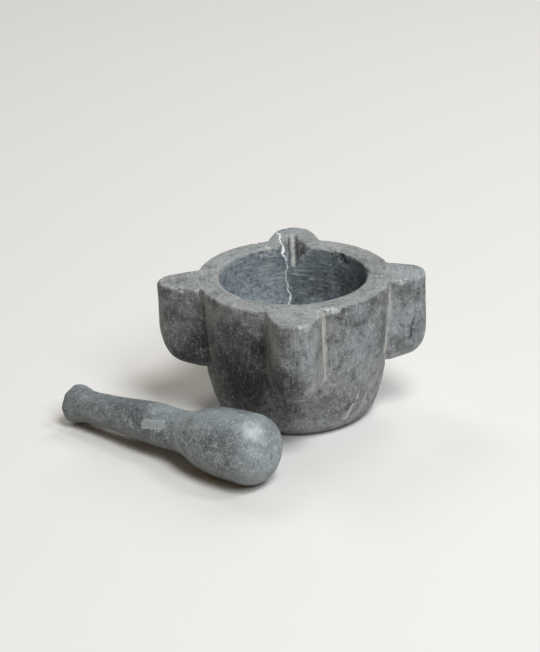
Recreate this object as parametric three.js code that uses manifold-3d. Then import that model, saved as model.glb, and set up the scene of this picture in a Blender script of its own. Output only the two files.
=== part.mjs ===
// A carved stone mortar with four lugs and a pouring notch, and the stone pestle that lies beside it.
// Millimetres, +Z up. The origin is the centre of the mortar's flat base, and the notch points to +Y.
import * as THREE from 'three';
import { mergeVertices } from 'three/addons/utils/BufferGeometryUtils.js';
import Module from 'manifold-3d';

const wasm = await Module();
wasm.setup();

// Mortar: outside of the bowl
const rimHeight = 133;
const rimRadius = 91.5;
const footRadius = 65;
const footEdge = { radius: 73, height: 7 };
const footCorner = { radius: 71.5, height: 0.5 };
const lowerWallPull = { radius: 83, height: 22 };
const upperWallPull = { radius: 89, height: 68 };
const rimRounding = 3;

// Mortar: the hollow, which is carved a little off the centre of the block
const mouthRadius = 70;
const hollowDepth = 95;
const hollowCentre = { x: -3.2, y: -0.4 };
const hollowFullness = 2.4;
const lipRounding = 2.5;

// Mortar: the lugs, each with its angle round the bowl, its reach from the centre, its sideways place
// and the size of the round corner between its nose and its underside
const lugs = [
  { angle: 0, reach: 121, aside: -1, corner: 36 },
  { angle: 90, reach: 123.5, aside: -0.5, corner: 36 },
  { angle: 184, reach: 127, aside: 0, corner: 46 },
  { angle: 270, reach: 125, aside: -3, corner: 36 },
];
const lugRootHalfWidth = 28;
const lugShoulderHalfWidth = 21;
const lugShoulderLength = 19;
const lugNoseHalfWidth = 18;
const lugUnderside = 45;
const lugUndersideRise = 3;
const lugSideAllowance = 0.5;
const lugCornerBulge = { inset: 3, rise: 5 };
const lugRoundingLevel = 73;
const lugStart = 76;
const lugEdgeRounding = 3;

// Mortar: the pouring notch, a sloping trough through the wall and into the lug at +Y
const notchTip = { x: 0.6, y: 100 };
const notchSlope = THREE.MathUtils.degToRad(28.5);
const notchHalfAngle = THREE.MathUtils.degToRad(45);
const notchFloorRadius = 3;
const notchLength = 58;
const notchSectionHeight = 36;

// Pestle
const pestleLength = 238;
const knobRadius = 18.5;
const knobFaceRadius = 13.5;
const knobChamfer = 6.5;
const neckRadius = 15.6;
const gripEndRadius = 20.3;
const headRadius = 31.7;
const headEndLength = 27;
const headFullness = 2.7;

// Pestle: radii of its flank between the knob and the head, with their distances from the knob's end face
const neck = { along: 23, radius: neckRadius };
const gripStart = { along: 52, radius: neckRadius + 1.2 };
const gripMiddle = { along: 106, radius: gripEndRadius - 1.2 };
const gripEnd = { along: 143, radius: gripEndRadius };
const headStart = { along: 166, radius: headRadius - 3.6 };
const headMiddle = { along: 188, radius: headRadius - 0.8 };

// Pestle: how it lies in front of the mortar, given by the place of its knob end and its heading
const knobEnd = { x: -211, y: -20 };
const pestleHeading = THREE.MathUtils.degToRad(-39.3);

// Facets round a full turn, and clearance of the cutting tools past what they cut
const mortarFacets = 64;
const lugFacets = 28;
const pestleFacets = 40;
const toolClearance = 6;

const mortarGrey = 0x6c6e70;
const pestleGrey = 0x868e90;

function toSolid(geometry) {
  const bare = geometry.clone();
  bare.deleteAttribute('normal');
  bare.deleteAttribute('uv');
  const merged = mergeVertices(bare, 1e-4);
  return new wasm.Manifold(new wasm.Mesh({
    numProp: 3,
    vertProperties: Float32Array.from(merged.attributes.position.array),
    triVerts: Uint32Array.from(merged.index.array),
  }));
}

function toGeometry(solid) {
  const mesh = solid.getMesh();
  const geometry = new THREE.BufferGeometry();
  geometry.setAttribute('position', new THREE.BufferAttribute(mesh.vertProperties, 3));
  geometry.setIndex(new THREE.BufferAttribute(mesh.triVerts, 1));
  geometry.computeVertexNormals();
  return geometry;
}

// A body of revolution about +Z from (radius, height) points that start and end on the axis
function turned(points, facets) {
  return new THREE.LatheGeometry(points, facets).rotateX(Math.PI / 2);
}

// A quarter of a superellipse, from (radius, 0) to (0, length); a higher fullness is squarer
function quarterBulge(radius, length, fullness, steps) {
  const points = [];
  for (let i = 0; i <= steps; i += 1) {
    const turn = (Math.PI / 2) * (i / steps);
    const across = i === steps ? 0 : radius * Math.cos(turn) ** (2 / fullness);
    points.push(new THREE.Vector2(across, length * Math.sin(turn) ** (2 / fullness)));
  }
  return points;
}

function bowlBlock() {
  const outline = new THREE.Path();
  outline.moveTo(0, 0);
  outline.lineTo(footRadius, 0);
  outline.quadraticCurveTo(footCorner.radius, footCorner.height, footEdge.radius, footEdge.height);
  outline.bezierCurveTo(
    lowerWallPull.radius, lowerWallPull.height,
    upperWallPull.radius, upperWallPull.height,
    rimRadius, rimHeight - rimRounding,
  );
  outline.quadraticCurveTo(rimRadius, rimHeight, rimRadius - rimRounding, rimHeight);
  outline.lineTo(0, rimHeight);
  return toSolid(turned(outline.getPoints(6), mortarFacets));
}

function hollow() {
  const wall = quarterBulge(mouthRadius, hollowDepth, hollowFullness, 12);
  const points = wall.map((p) => new THREE.Vector2(p.x, rimHeight - p.y)).reverse();
  points.pop();
  const lip = new THREE.Path();
  lip.moveTo(mouthRadius, rimHeight - lipRounding);
  lip.quadraticCurveTo(mouthRadius, rimHeight, mouthRadius + lipRounding, rimHeight);
  points.push(...lip.getPoints(3));
  points.push(new THREE.Vector2(mouthRadius + lipRounding, rimHeight + toolClearance));
  points.push(new THREE.Vector2(0, rimHeight + toolClearance));
  return toSolid(turned(points, mortarFacets).translate(hollowCentre.x, hollowCentre.y, 0));
}

// Half of the lug's outline seen from above, from its root inside the bowl's wall to its rounded nose
function lugHalfOutline(reach) {
  const shoulder = reach - lugShoulderLength;
  const half = new THREE.Path();
  half.moveTo(lugStart, lugRootHalfWidth);
  half.lineTo(shoulder, lugShoulderHalfWidth);
  half.quadraticCurveTo(reach, lugNoseHalfWidth, reach, 0);
  return half.getPoints(6);
}

// The upright part of the lug, above the level where its bottom starts to round
function lugShaft(reach) {
  const half = lugHalfOutline(reach);
  const mirrored = half.slice(0, -1).map((p) => new THREE.Vector2(p.x, -p.y)).reverse();
  const block = new THREE.ExtrudeGeometry(new THREE.Shape([...half, ...mirrored]), {
    depth: rimHeight - lugRoundingLevel - lugEdgeRounding,
    bevelThickness: lugEdgeRounding,
    bevelSize: lugEdgeRounding,
    bevelOffset: -lugEdgeRounding,
    bevelSegments: 2,
  });
  return toSolid(block.translate(0, 0, lugRoundingLevel));
}

// The round bottom of the lug: its outline turned about the line that runs out along its middle
function lugBottom(reach) {
  const points = lugHalfOutline(reach).map((p) => new THREE.Vector2(p.y, p.x));
  points.unshift(new THREE.Vector2(0, lugStart));
  points[points.length - 1].x = 0;
  const bullet = new THREE.LatheGeometry(points, lugFacets);
  return toSolid(bullet.rotateZ(-Math.PI / 2).translate(0, 0, lugRoundingLevel));
}

// What is left after the lug's side is carved: an upright nose that curves in to a nearly level underside
function lugSide(reach, corner) {
  const nose = reach + lugSideAllowance;
  const bulge = lugCornerBulge;
  const side = new THREE.Shape();
  side.moveTo(0, lugUnderside - lugUndersideRise);
  side.lineTo(nose - corner, lugUnderside);
  side.quadraticCurveTo(
    nose - bulge.inset, lugUnderside + bulge.rise,
    nose, lugUnderside + corner + bulge.rise,
  );
  side.lineTo(nose, rimHeight + toolClearance);
  side.lineTo(0, rimHeight + toolClearance);
  side.closePath();
  const width = 2 * (lugRootHalfWidth + toolClearance);
  const settings = { depth: width, curveSegments: 7, bevelEnabled: false };
  const block = new THREE.ExtrudeGeometry(side, settings);
  return toSolid(block.translate(0, 0, -width / 2).rotateX(Math.PI / 2));
}

function lug({ angle, reach, aside, corner }) {
  const solid = lugShaft(reach).add(lugBottom(reach)).intersect(lugSide(reach, corner));
  return solid.translate([0, aside, 0]).rotate([0, 0, angle]);
}

// The trough's section is a V with a round floor; it rises outwards to nothing at its tip
function pouringNotch() {
  const height = notchSectionHeight;
  const vertex = notchFloorRadius - notchFloorRadius / Math.sin(notchHalfAngle);
  const halfWidth = (height - vertex) * Math.tan(notchHalfAngle);
  const floorTurn = { start: Math.PI + notchHalfAngle, end: 2 * Math.PI - notchHalfAngle };
  const section = new THREE.Shape();
  section.moveTo(halfWidth, height);
  section.lineTo(-halfWidth, height);
  section.absarc(0, notchFloorRadius, notchFloorRadius, floorTurn.start, floorTurn.end, false);
  section.closePath();
  const trough = new THREE.ExtrudeGeometry(section, {
    depth: notchLength,
    curveSegments: 5,
    bevelEnabled: false,
  });
  trough.rotateX(Math.PI / 2 + notchSlope);
  return toSolid(trough.translate(notchTip.x, notchTip.y, rimHeight));
}

function mortar() {
  let block = bowlBlock();
  for (const place of lugs) {
    block = block.add(lug(place));
  }
  const carved = block.subtract(hollow()).subtract(pouringNotch());
  const stone = new THREE.MeshStandardMaterial({ color: mortarGrey, roughness: 0.75, metalness: 0 });
  const mesh = new THREE.Mesh(toGeometry(carved), stone);
  mesh.name = 'mortar';
  return mesh;
}

// The pestle's outline as (radius, distance from the knob's end face)
function pestleOutline() {
  const headWidest = pestleLength - headEndLength;
  const knobEdge = { along: knobChamfer, radius: knobRadius };
  const headEdge = { along: headWidest, radius: headRadius };
  const places = [knobEdge, neck, gripStart, gripMiddle, gripEnd, headStart, headMiddle, headEdge];
  const flank = new THREE.SplineCurve(places.map((place) => new THREE.Vector2(place.radius, place.along)));
  const headEnd = quarterBulge(headRadius, headEndLength, headFullness, 8);
  return [
    new THREE.Vector2(0, 0),
    new THREE.Vector2(knobFaceRadius, 0),
    ...flank.getPoints(22),
    ...headEnd.slice(1).map((p) => new THREE.Vector2(p.x, headWidest + p.y)),
  ];
}

// It lies on its knob and its head, so its axis is tilted by the difference of their radii
function pestle() {
  const stone = new THREE.MeshStandardMaterial({ color: pestleGrey, roughness: 0.6, metalness: 0 });
  const mesh = new THREE.Mesh(new THREE.LatheGeometry(pestleOutline(), pestleFacets), stone);
  mesh.name = 'pestle';
  const tilt = Math.asin((headRadius - knobRadius) / (pestleLength - headEndLength - knobChamfer));
  mesh.rotation.set(0, 0, tilt - Math.PI / 2);
  const swing = new THREE.Group();
  swing.rotation.set(Math.PI / 2, pestleHeading, 0);
  swing.add(mesh);
  const lying = new THREE.Group();
  lying.add(swing);
  lying.position.set(knobEnd.x, knobEnd.y, 0);
  lying.position.z = -new THREE.Box3().setFromObject(lying, true).min.z;
  return lying;
}

const mortarAndPestle = new THREE.Group();
mortarAndPestle.add(mortar(), pestle());

export default mortarAndPestle;
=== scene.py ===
import math
from collections import namedtuple

import bpy
import numpy as np
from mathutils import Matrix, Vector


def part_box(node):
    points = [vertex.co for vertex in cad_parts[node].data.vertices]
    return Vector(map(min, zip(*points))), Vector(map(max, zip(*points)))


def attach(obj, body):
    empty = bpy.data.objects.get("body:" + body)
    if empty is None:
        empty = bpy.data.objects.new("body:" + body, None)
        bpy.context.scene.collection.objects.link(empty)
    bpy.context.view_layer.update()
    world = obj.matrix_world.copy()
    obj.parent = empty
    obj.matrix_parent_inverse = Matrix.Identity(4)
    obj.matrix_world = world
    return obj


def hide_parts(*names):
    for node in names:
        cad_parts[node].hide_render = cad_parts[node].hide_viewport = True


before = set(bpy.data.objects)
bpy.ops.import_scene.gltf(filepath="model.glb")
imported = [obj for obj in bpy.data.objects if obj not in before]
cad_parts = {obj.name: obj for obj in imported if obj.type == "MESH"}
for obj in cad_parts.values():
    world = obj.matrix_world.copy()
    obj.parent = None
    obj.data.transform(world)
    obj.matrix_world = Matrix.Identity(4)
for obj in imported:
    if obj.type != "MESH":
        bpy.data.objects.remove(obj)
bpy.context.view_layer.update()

import openvdb
from mathutils import Matrix, Vector

# A carved marble mortar with four lugs and its stone pestle, on a pale studio floor.
# Each stone is first a field of distances to its surface, in millimetres, which is then meshed.
# Stones are given in millimetres; the floor, the lamps and the camera are given in metres.
MM = 0.001

# Unevenness: how high it is, its wavelength along each axis, and the seed of its random draws
Waves = namedtuple("Waves", "height spacing seed")

# Chips knocked out of a surface: how many, their ranges of size and depth, and the seed
Chips = namedtuple("Chips", "count sizes depths seed")
CHIP_ROUNDING = 0.6

# ---- mortar ----
MORTAR_PITCH = 1.5
RIM_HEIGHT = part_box("mortar")[1].z / MM
RIM_RADIUS = 91.5
RIM_ROUNDING = 3.6
# The wall's outline (radius, height) as one Bezier curve from the foot to the rim
WALL_CURVE = ((71.6, 3.0), (83.0, 22.0), (89.0, 68.0), (RIM_RADIUS, RIM_HEIGHT))
WALL_STEPS = 40
WALL_SLOPE = 0.985
FOOT_ROUNDING = 9.5
FOOT_ASIDE = -1.2

HOLLOW_CENTRE = (-1.6, -0.6)
HOLLOW_DEPTH = 95.0
HOLLOW_FULLNESS = 2.4
MOUTH_RADIUS = 68.0
LIP_ROUNDING = 3.8

# Each lug: angle round the bowl, reach from the centre, sideways place, round corner under the nose,
# rounding of the nose seen from above, and what lies in the corner on each side of it:
# pale dust with painted light above zero, and painted shade below zero
Lug = namedtuple("Lug", "angle reach aside corner nose dust_before dust_after")
LUGS = (
    Lug(0, 122.0, -1.0, 37.0, 14.0, 1.25, 0.5),
    Lug(90, 125.0, -1.2, 36.0, 16.5, 0.6, 0.6),
    Lug(184, 128.0, 0.0, 47.0, 15.0, 0.6, -1.0),
    Lug(270, 126.0, -2.4, 36.0, 14.0, -0.7, 1.6),
)
LUG_START = 76.0
LUG_OVERLAP = 10.0
LUG_ROOT_HALF_WIDTH = 29.5
LUG_TAPER = math.radians(17)
LUG_UNDERSIDE = 46.0
LUG_UNDERSIDE_RISE = 0.05
LUG_ROUNDING_LEVEL = 73.0
LUG_EDGE_ROUNDING = 3.0
LUG_FILLET = 3.5
CUT_LINE_DEPTH = 1.9
CUT_LINE_WIDTH = 1.6
DUST_LIGHT_SHADE_LINE_WIDTH = 1.65

# The pouring notch in the back lug, with a narrow channel along its floor
NOTCH_TIP = (0.6, 100.0)
NOTCH_SLOPE = math.radians(28.5)
NOTCH_HALF_ANGLE = math.radians(45)
NOTCH_FLOOR = 1.6
NOTCH_LENGTH = 58.0
NOTCH_END_ROUNDING = 2.0
NOTCH_EDGE_ROUNDING = 0.8
CHANNEL_RADIUS = 3.2
CHANNEL_SINK = 1.2
# Along the channel: a painted highlight on its floor, and painted shade in strips on each side
CHANNEL_LIGHT_SHADE_START = 62.0
CHANNEL_LIGHT_SHADE_FADE = 4
CHANNEL_HIGHLIGHT_WIDTH = 1.6
CHANNEL_HIGHLIGHT_SHARE = 1.1
CHANNEL_HIGHLIGHT_LEAST = 0.1
CHANNEL_SIDE_WIDTH = 0.8
CHANNEL_NEAR = 1.5
CHANNEL_FADE = 2

MORTAR_WAVES = (
    Waves(0.7, (48, 48, 40), 3),
    Waves(0.26, (15, 15, 24), 4),
    Waves(0.07, (5.5, 5.5, 8), 5),
)
# Unevenness grows over the lowest millimetres, and falls to a share of itself below the rim
LEVEL_FOOT = 8.0
LEVEL_RIM = 20.0
LEVEL_RIM_PAST = 4.0
LEVEL_RIM_SHARE = 0.2

WORN_SOFTENING = 2
EDGE_CHIPS = Chips(60, (2.0, 4.0), (0.3, 0.6), 11)
EDGE_CHIPS_ABOVE = 20.0
EDGE_BULGE = 0.12
FACE_CHIPS = Chips(120, (2.0, 4.5), (0.2, 0.45), 12)
FACE_CHIPS_ABOVE = 10.0
LIP_CHIPS = Chips(3, (3.0, 5.0), (0.7, 1.3), 13)
LIP_CHIPS_REACH = 4
CHIPPED_LIP = ((31, 62, 130), (37, 57, 129), (43, 52, 128), (47, 48, 126), (-29, 66, 131), (-20, 69, 131))

# The white vein starts at this y on the back lug and runs forward and down into the bowl.
# Its path gives how far it has run and how far to the side it then is.
VEIN_START = 110.0
VEIN_END = -45.0
VEIN_FAR = 40.0
VEIN_PATH = (
    (0, -13.0), (16, -12.8), (26, -11.4), (44, -9.4), (62, -7.4), (76, -8.0), (86, -4.2), (99, -4.2),
    (210, -2.0),
)

# Spots on the mortar (x, y, z, size): rubbed pale with painted highlights on the edges, stained dark or
# chipped with painted shade, painted shade dimmer than the rest, and painted light paler than the rest
RUBBED_AND_HIGHLIGHT_SPOTS = (
    (5, -123, 133, 6), (33, -85, 132, 9), (99, -23, 132, 7), (-24, 67, 131, 6), (-113, -5, 133, 8),
    (-104, -10, 133, 7), (-105, -28, 132, 5), (-88, -31, 132, 4), (45, 50, 123, 2.8), (46, 48.5, 120, 2.5),
    (22, -90, 133, 5), (-30, 64, 122, 3), (-24, 66, 119, 3), (36, 57, 118, 2.5),
)
# Stains with painted shade: dark low on the left and under the left lug, in the lip's chips, on the
# notch's right flank and on the bowl's right wall
STAINS_AND_SHADE = (
    (-51, -69, 49, 20), (-60, -62, 70, 16), (-106, -27, 58, 16), (-92, -27, 80, 10), (37, 57, 129, 1.5),
    (42, 54, 128, 1.8), (46, 51, 126, 1.5), (-17, -121, 73, 5), (10, 74, 125, 5), (62, 6, 96, 28),
    (-36, -82, 96, 9),
)
# Painted shade, dimmer than the rest: on the left and front lugs, low on the left and on the bowl's shaded
# back wall
SHADE_SPOTS = (
    (-119, -24, 126, 5), (-117, -25, 108, 7), (-113, -27, 82, 8), (-91, -31, 118, 5), (-90, -31, 98, 6),
    (-89, -31, 74, 6), (-15, -122, 119, 7), (-4, -125, 104, 6), (-42, -75, 60, 11), (24, -79, 36, 7),
    (96, -24, 70, 6), (6, 65, 92, 13), (26, 60, 97, 15), (48, 44, 98, 15), (-106, -8, 133, 7),
)
# Painted light, paler than the rest: on the right side, on the lit left side of the bowl and on the lug
# tops
PAINTED_LIGHT_SPOTS = (
    (-62, 18, 98, 26), (-60, 38, 122, 18), (105, -21, 90, 28), (62, -64, 90, 24), (58, -70, 123, 10),
    (6, -124, 104, 14), (-30, 48, 100, 30), (105, 0, 133, 22), (0, 108, 133, 16),
)
# Painted shade on the wall just above the floor
FOOT_SHADE_TOP = 12
FOOT_SHADE_FADE = 10
FOOT_SHADE_SHARE = 0.9
# The mark for the bowl's inside is 0 on its wall and -1 this far outside it, and it is lower near the rim
INSIDE_DEPTH = 6
LIP_DEPTH = 4
LIP_SHARE = 0.8

# ---- pestle, along its own axis from the knob's end face ----
PESTLE_PITCH = 1.0
PESTLE_LENGTH = 238.0
PESTLE_HEADING = math.radians(-39.3)
PESTLE_BOW = 1.2
PESTLE_BOW_PLACE = 90.0
PESTLE_BOW_WIDTH = 35
KNOB_RADIUS = 18.5
KNOB_LENGTH = 7.0
KNOB_FACE_RADIUS = 13.0
KNOB_FLARE = 0.6
KNOB_ROUNDING = 1.5
KNOB_FACE_TILT = 0.03
KNOB_FACETS = 8
FACET_TURN = 0.35
FACET_ACROSS = 0.66
FACET_ALONG = 0.75
FACET_UNEVENNESS = 0.5
NECK_RADIUS = 15.6
GRIP_END_RADIUS = 20.3
HEAD_RADIUS = 31.7
HEAD_END_LENGTH = 27.0
HEAD_FULLNESS = 2.7
HEAD_END_SLOPE = 0.9
FLANK_SLOPE = 0.97
# The outline: how far along, and the radius there
PESTLE_OUTLINE = (
    (0.0, KNOB_RADIUS - 0.5),
    (KNOB_LENGTH, KNOB_RADIUS),
    (21.0, NECK_RADIUS),
    (33.0, NECK_RADIUS),
    (52.0, NECK_RADIUS + 0.3),
    (106.0, GRIP_END_RADIUS - 1.0),
    (145.0, GRIP_END_RADIUS),
    (166.0, HEAD_RADIUS - 3.8),
    (188.0, HEAD_RADIUS - 0.8),
    (PESTLE_LENGTH - HEAD_END_LENGTH, HEAD_RADIUS),
    (PESTLE_LENGTH, HEAD_RADIUS),
)
PESTLE_WAVES = (Waves(0.4, (45, 30, 30), 21), Waves(0.12, (11, 9, 9), 22))
PESTLE_CHIPS = Chips(50, (2.0, 5.0), (0.2, 0.5), 23)
PESTLE_CHIPS_FROM = 5.0
PESTLE_ROOM = HEAD_RADIUS + 1
# A painted highlight on the head, in the pestle's own frame (along, aside, up, size)
PESTLE_HIGHLIGHT = ((229, -10, 25, 10),)
# Painted light on the upper side of the grip and the head
PESTLE_PAINTED_LIGHT = ((125, 4, 19, 15), (150, -5, 22, 14), (176, -13, 27, 15), (198, -11, 29, 13))
PATCH_ALONG = 117.5
PATCH_TURN = math.radians(151)
PATCH_SLANT = 0.008
PATCH_LENGTH = 25.0
PATCH_WIDTH = 9.0
PATCH_GRIP_RADIUS = 19.5
PATCH_FAR = 10

# ---- camera, floor and lamps, in metres ----
CAMERA_DISTANCE = 1.9475
CAMERA_ELEVATION = math.radians(23.61)
CAMERA_ROLL = math.radians(-1.71)
CAMERA_AIM = (-0.0240, 0.0298, 0.0682)
CAMERA_LENS = 113.2
CAMERA_SENSOR = 36
FLOOR_RADIUS = 4.6
PAPER_BEND = 1.6
PAPER_STEPS = 9
PAPER_SIDES = 96
PAPER_COLOUR = (244, 244, 242)
PAPER_ROUGHNESS = 0.9

# Each lamp: its heading and height in degrees seen from the stones, its side, power and colour
Lamp = namedtuple("Lamp", "name heading height side power colour")
LAMPS = (
    Lamp("key", -60, 65, 1.2, 54, (1.0, 0.995, 0.98)),
    Lamp("front", -60, 45, 1.2, 34, (0.90, 0.97, 1.0)),
    Lamp("side", -2, 55, 0.7, 20, (0.86, 0.90, 1.0)),
    Lamp("back", 60, 45, 1.2, 25, (0.995, 1.0, 0.975)),
    Lamp("far_back", 120, 45, 1.2, 17, (0.90, 0.97, 1.0)),
)
LAMP_DISTANCE = 3.6
LAMP_AIM = (0, 0, 0.05)
WORLD_COLOUR = (1.0, 0.54, 0.15, 1)
WORLD_STRENGTH = 0.075

# ---- fields and meshes: their margin in steps, the waves' range, and what keeps sums away from zero ----
MARGIN_STEPS = 4
WAVE_KNOT_RANGE = 3
CENTRE_GUARD = 1e-4
SLOPE_GUARD = 1e-6


# ---------------------------------------------------------------- distance fields

def smooth_min(a, b, blend):
    """The lower of two fields, with the corner between them filled over about the blend length."""
    share = np.clip(0.5 + 0.5 * (b - a) / blend, 0, 1)
    return b + (a - b) * share - blend * share * (1 - share)


def smooth_max(a, b, blend):
    """The higher of two fields, with the corner between them rounded over about the blend length."""
    return -smooth_min(-a, -b, blend)


def rounded_corner(a, b, radius):
    """Where both a and b are below zero, with the corner between them turned to a radius."""
    a, b = a + radius, b + radius
    return np.minimum(np.maximum(a, b), 0) + np.hypot(np.maximum(a, 0), np.maximum(b, 0)) - radius


def bell(gap_squared, width):
    """1 where the gap is zero, falling smoothly to 0 over about three widths."""
    return np.exp(-gap_squared / (2 * width**2))


def grid_axes(low, high, pitch):
    """Evenly spaced points along x, y and z, past the given corners by a margin."""
    margin = MARGIN_STEPS * pitch
    return [np.arange(lo - margin, hi + margin, pitch, dtype=np.float32) for lo, hi in zip(low, high)]


def spread(axes):
    return np.meshgrid(*axes, indexing="ij", sparse=True)


def random_waves(axes, waves):
    """Smooth random unevenness on the grid: a cubic B-spline through random knots along each axis."""
    weights = []
    for axis, step in zip(axes, waves.spacing):
        place = (axis - axis[0]) / step
        knots = np.arange(int(place[-1]) + 4) - 1
        gap = np.abs(place[:, None] - knots[None, :])
        near = 2 / 3 - gap**2 + gap**3 / 2
        far = (2 - np.minimum(gap, 2)) ** 3 / 6
        weights.append(np.where(gap < 1, near, far).astype(np.float32))
    rng = np.random.default_rng(waves.seed)
    sizes = [w.shape[1] for w in weights]
    knots = rng.uniform(-WAVE_KNOT_RANGE, WAVE_KNOT_RANGE, sizes).astype(np.float32)
    total = np.tensordot(weights[0], knots, (1, 0))
    total = np.tensordot(total, weights[1], (1, 1))
    return np.tensordot(total, weights[2], (1, 1))


def sample(field, points):
    """The field's value at points given in grid steps."""
    base = np.clip(points.astype(int), 0, np.array(field.shape) - 2)
    part = points - base
    total = np.zeros(len(points), np.float32)
    for corner in np.ndindex(2, 2, 2):
        weight = np.prod(np.where(corner, part, 1 - part), axis=1)
        i, j, k = (base + corner).T
        total += weight * field[i, j, k]
    return total


def convexity(field, pitch):
    """Positive where the surface bulges out and negative in a crease, per millimetre."""
    total = np.zeros_like(field)
    for axis in range(3):
        total += np.gradient(np.gradient(field, pitch, axis=axis), pitch, axis=axis)
    return total


def soften(field, rounds):
    for _ in range(rounds):
        for axis in range(3):
            field = 0.5 * field + 0.25 * (np.roll(field, 1, axis) + np.roll(field, -1, axis))
    return field


def knock_chips(field, axes, pitch, where, chips):
    """Takes shallow round chips out of the stone, at random places where the mask allows them."""
    rng = np.random.default_rng(chips.seed)
    slopes = np.gradient(field, pitch)
    places = np.argwhere(where)
    for place in places[rng.integers(0, len(places), chips.count)]:
        size = rng.uniform(*chips.sizes)
        depth = rng.uniform(*chips.depths)
        out = np.array([slope[tuple(place)] for slope in slopes])
        out /= np.linalg.norm(out) + SLOPE_GUARD
        centre = np.array([axis[i] for axis, i in zip(axes, place)]) + out * (size - depth)
        window = tuple(
            slice(max(int((c - size - axis[0]) / pitch) - 2, 0), int((c + size - axis[0]) / pitch) + 3)
            for c, axis in zip(centre, axes)
        )
        x, y, z = spread([axis[w] for axis, w in zip(axes, window)])
        gap = np.sqrt((x - centre[0]) ** 2 + (y - centre[1]) ** 2 + (z - centre[2]) ** 2) - size
        field[window] = smooth_max(field[window], -gap, CHIP_ROUNDING)
    return field


def mesh_from_field(name, field, axes, pitch):
    """A closed quad mesh of the field's zero surface, with its points in grid steps and in millimetres."""
    reach = MARGIN_STEPS * pitch
    volume = openvdb.FloatGrid(float(reach))
    volume.copyFromArray(np.clip(field, -reach, reach))
    steps, quads = volume.convertToQuads()
    places = np.array([axis[0] for axis in axes]) + steps * pitch
    mesh = bpy.data.meshes.new(name)
    mesh.vertices.add(len(steps))
    mesh.loops.add(4 * len(quads))
    mesh.polygons.add(len(quads))
    mesh.vertices.foreach_set("co", (places * MM).astype(np.float32).ravel())
    mesh.loops.foreach_set("vertex_index", quads.astype(np.int32).ravel())
    mesh.polygons.foreach_set("loop_start", np.arange(len(quads), dtype=np.int32) * 4)
    mesh.polygons.foreach_set("use_smooth", np.ones(len(quads), bool))
    mesh.update(calc_edges=True)
    mesh.validate()
    return mesh, steps, places


def add_mark(mesh, name, values):
    """Stores a value at each point of the mesh, for its material to read."""
    attribute = mesh.attributes.new(name, "FLOAT", "POINT")
    attribute.data.foreach_set("value", values.astype(np.float32))


def nearness(places, spots):
    """1 at the middle of each spot (x, y, z, size), falling smoothly to 0 away from it."""
    near = np.zeros(len(places))
    for *middle, size in spots:
        gap_squared = ((places - np.array(middle)) ** 2).sum(axis=1)
        near = np.maximum(near, bell(gap_squared, size))
    return near


# ---------------------------------------------------------------- mortar

def bezier(control, steps):
    t = np.linspace(0, 1, steps)[:, None]
    a, b, c, d = (np.array(p) for p in control)
    return (1 - t) ** 3 * a + 3 * (1 - t) ** 2 * t * b + 3 * (1 - t) * t**2 * c + t**3 * d


def bowl_outside(x, y, z):
    """The turned wall, whose foot sits a little to the side, cut flat and rounded at the bottom."""
    curve = bezier(WALL_CURVE, WALL_STEPS)
    wall = np.interp(z.ravel(), curve[:, 1], curve[:, 0]).astype(np.float32).reshape(z.shape)
    middle = FOOT_ASIDE * (1 - z / RIM_HEIGHT)
    return smooth_max(WALL_SLOPE * (np.hypot(x - middle, y) - wall), -z, FOOT_ROUNDING)


def lug_field(x, y, z, lug):
    """A tongue: tapered sides and a round nose seen from above, a half-round bottom seen from its nose."""
    turn = math.radians(lug.angle)
    out = x * math.cos(turn) + y * math.sin(turn)
    across = y * math.cos(turn) - x * math.sin(turn) - lug.aside
    width = np.hypot(across, np.minimum(z - LUG_ROUNDING_LEVEL, 0))
    half_width = LUG_ROOT_HALF_WIDTH - math.tan(LUG_TAPER) * (out - LUG_START)
    plan = rounded_corner((width - half_width) * math.cos(LUG_TAPER), out - lug.reach, lug.nose)
    underside = LUG_UNDERSIDE + LUG_UNDERSIDE_RISE * (out - RIM_RADIUS)
    profile = rounded_corner(underside - z, out - lug.reach, lug.corner)
    tongue = smooth_max(plan, profile, LUG_EDGE_ROUNDING)
    return np.maximum(tongue, LUG_START - LUG_OVERLAP - out), across


def join_lugs(body, x, y, z):
    """The wall with its lugs, a cut line in each corner between them, and the pale dusty lines, painted
    light and painted shade in those corners.
    """
    field = body
    dust = np.zeros(field.shape, np.float32)
    for lug in LUGS:
        tongue, across = lug_field(x, y, z, lug)
        from_corner = body**2 + tongue**2
        field = smooth_min(field, tongue, LUG_FILLET) + CUT_LINE_DEPTH * bell(from_corner, CUT_LINE_WIDTH)
        side = np.where(across > 0, lug.dust_after, lug.dust_before)
        line = side * bell(from_corner, DUST_LIGHT_SHADE_LINE_WIDTH)
        dust = np.where(np.abs(line) > np.abs(dust), line, dust)
    return field, dust


def hollow_field(x, y, z):
    """A round-bottomed superellipse, as a distance near its surface."""
    across = np.hypot(x - HOLLOW_CENTRE[0], y - HOLLOW_CENTRE[1]) / MOUTH_RADIUS + CENTRE_GUARD
    down = np.maximum(RIM_HEIGHT - z, 0) / HOLLOW_DEPTH
    n = HOLLOW_FULLNESS
    level = (across**n + down**n) ** (1 / n)
    slope = np.hypot((across / level) ** (n - 1) / MOUTH_RADIUS, (down / level) ** (n - 1) / HOLLOW_DEPTH)
    return (level - 1) / slope


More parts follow.
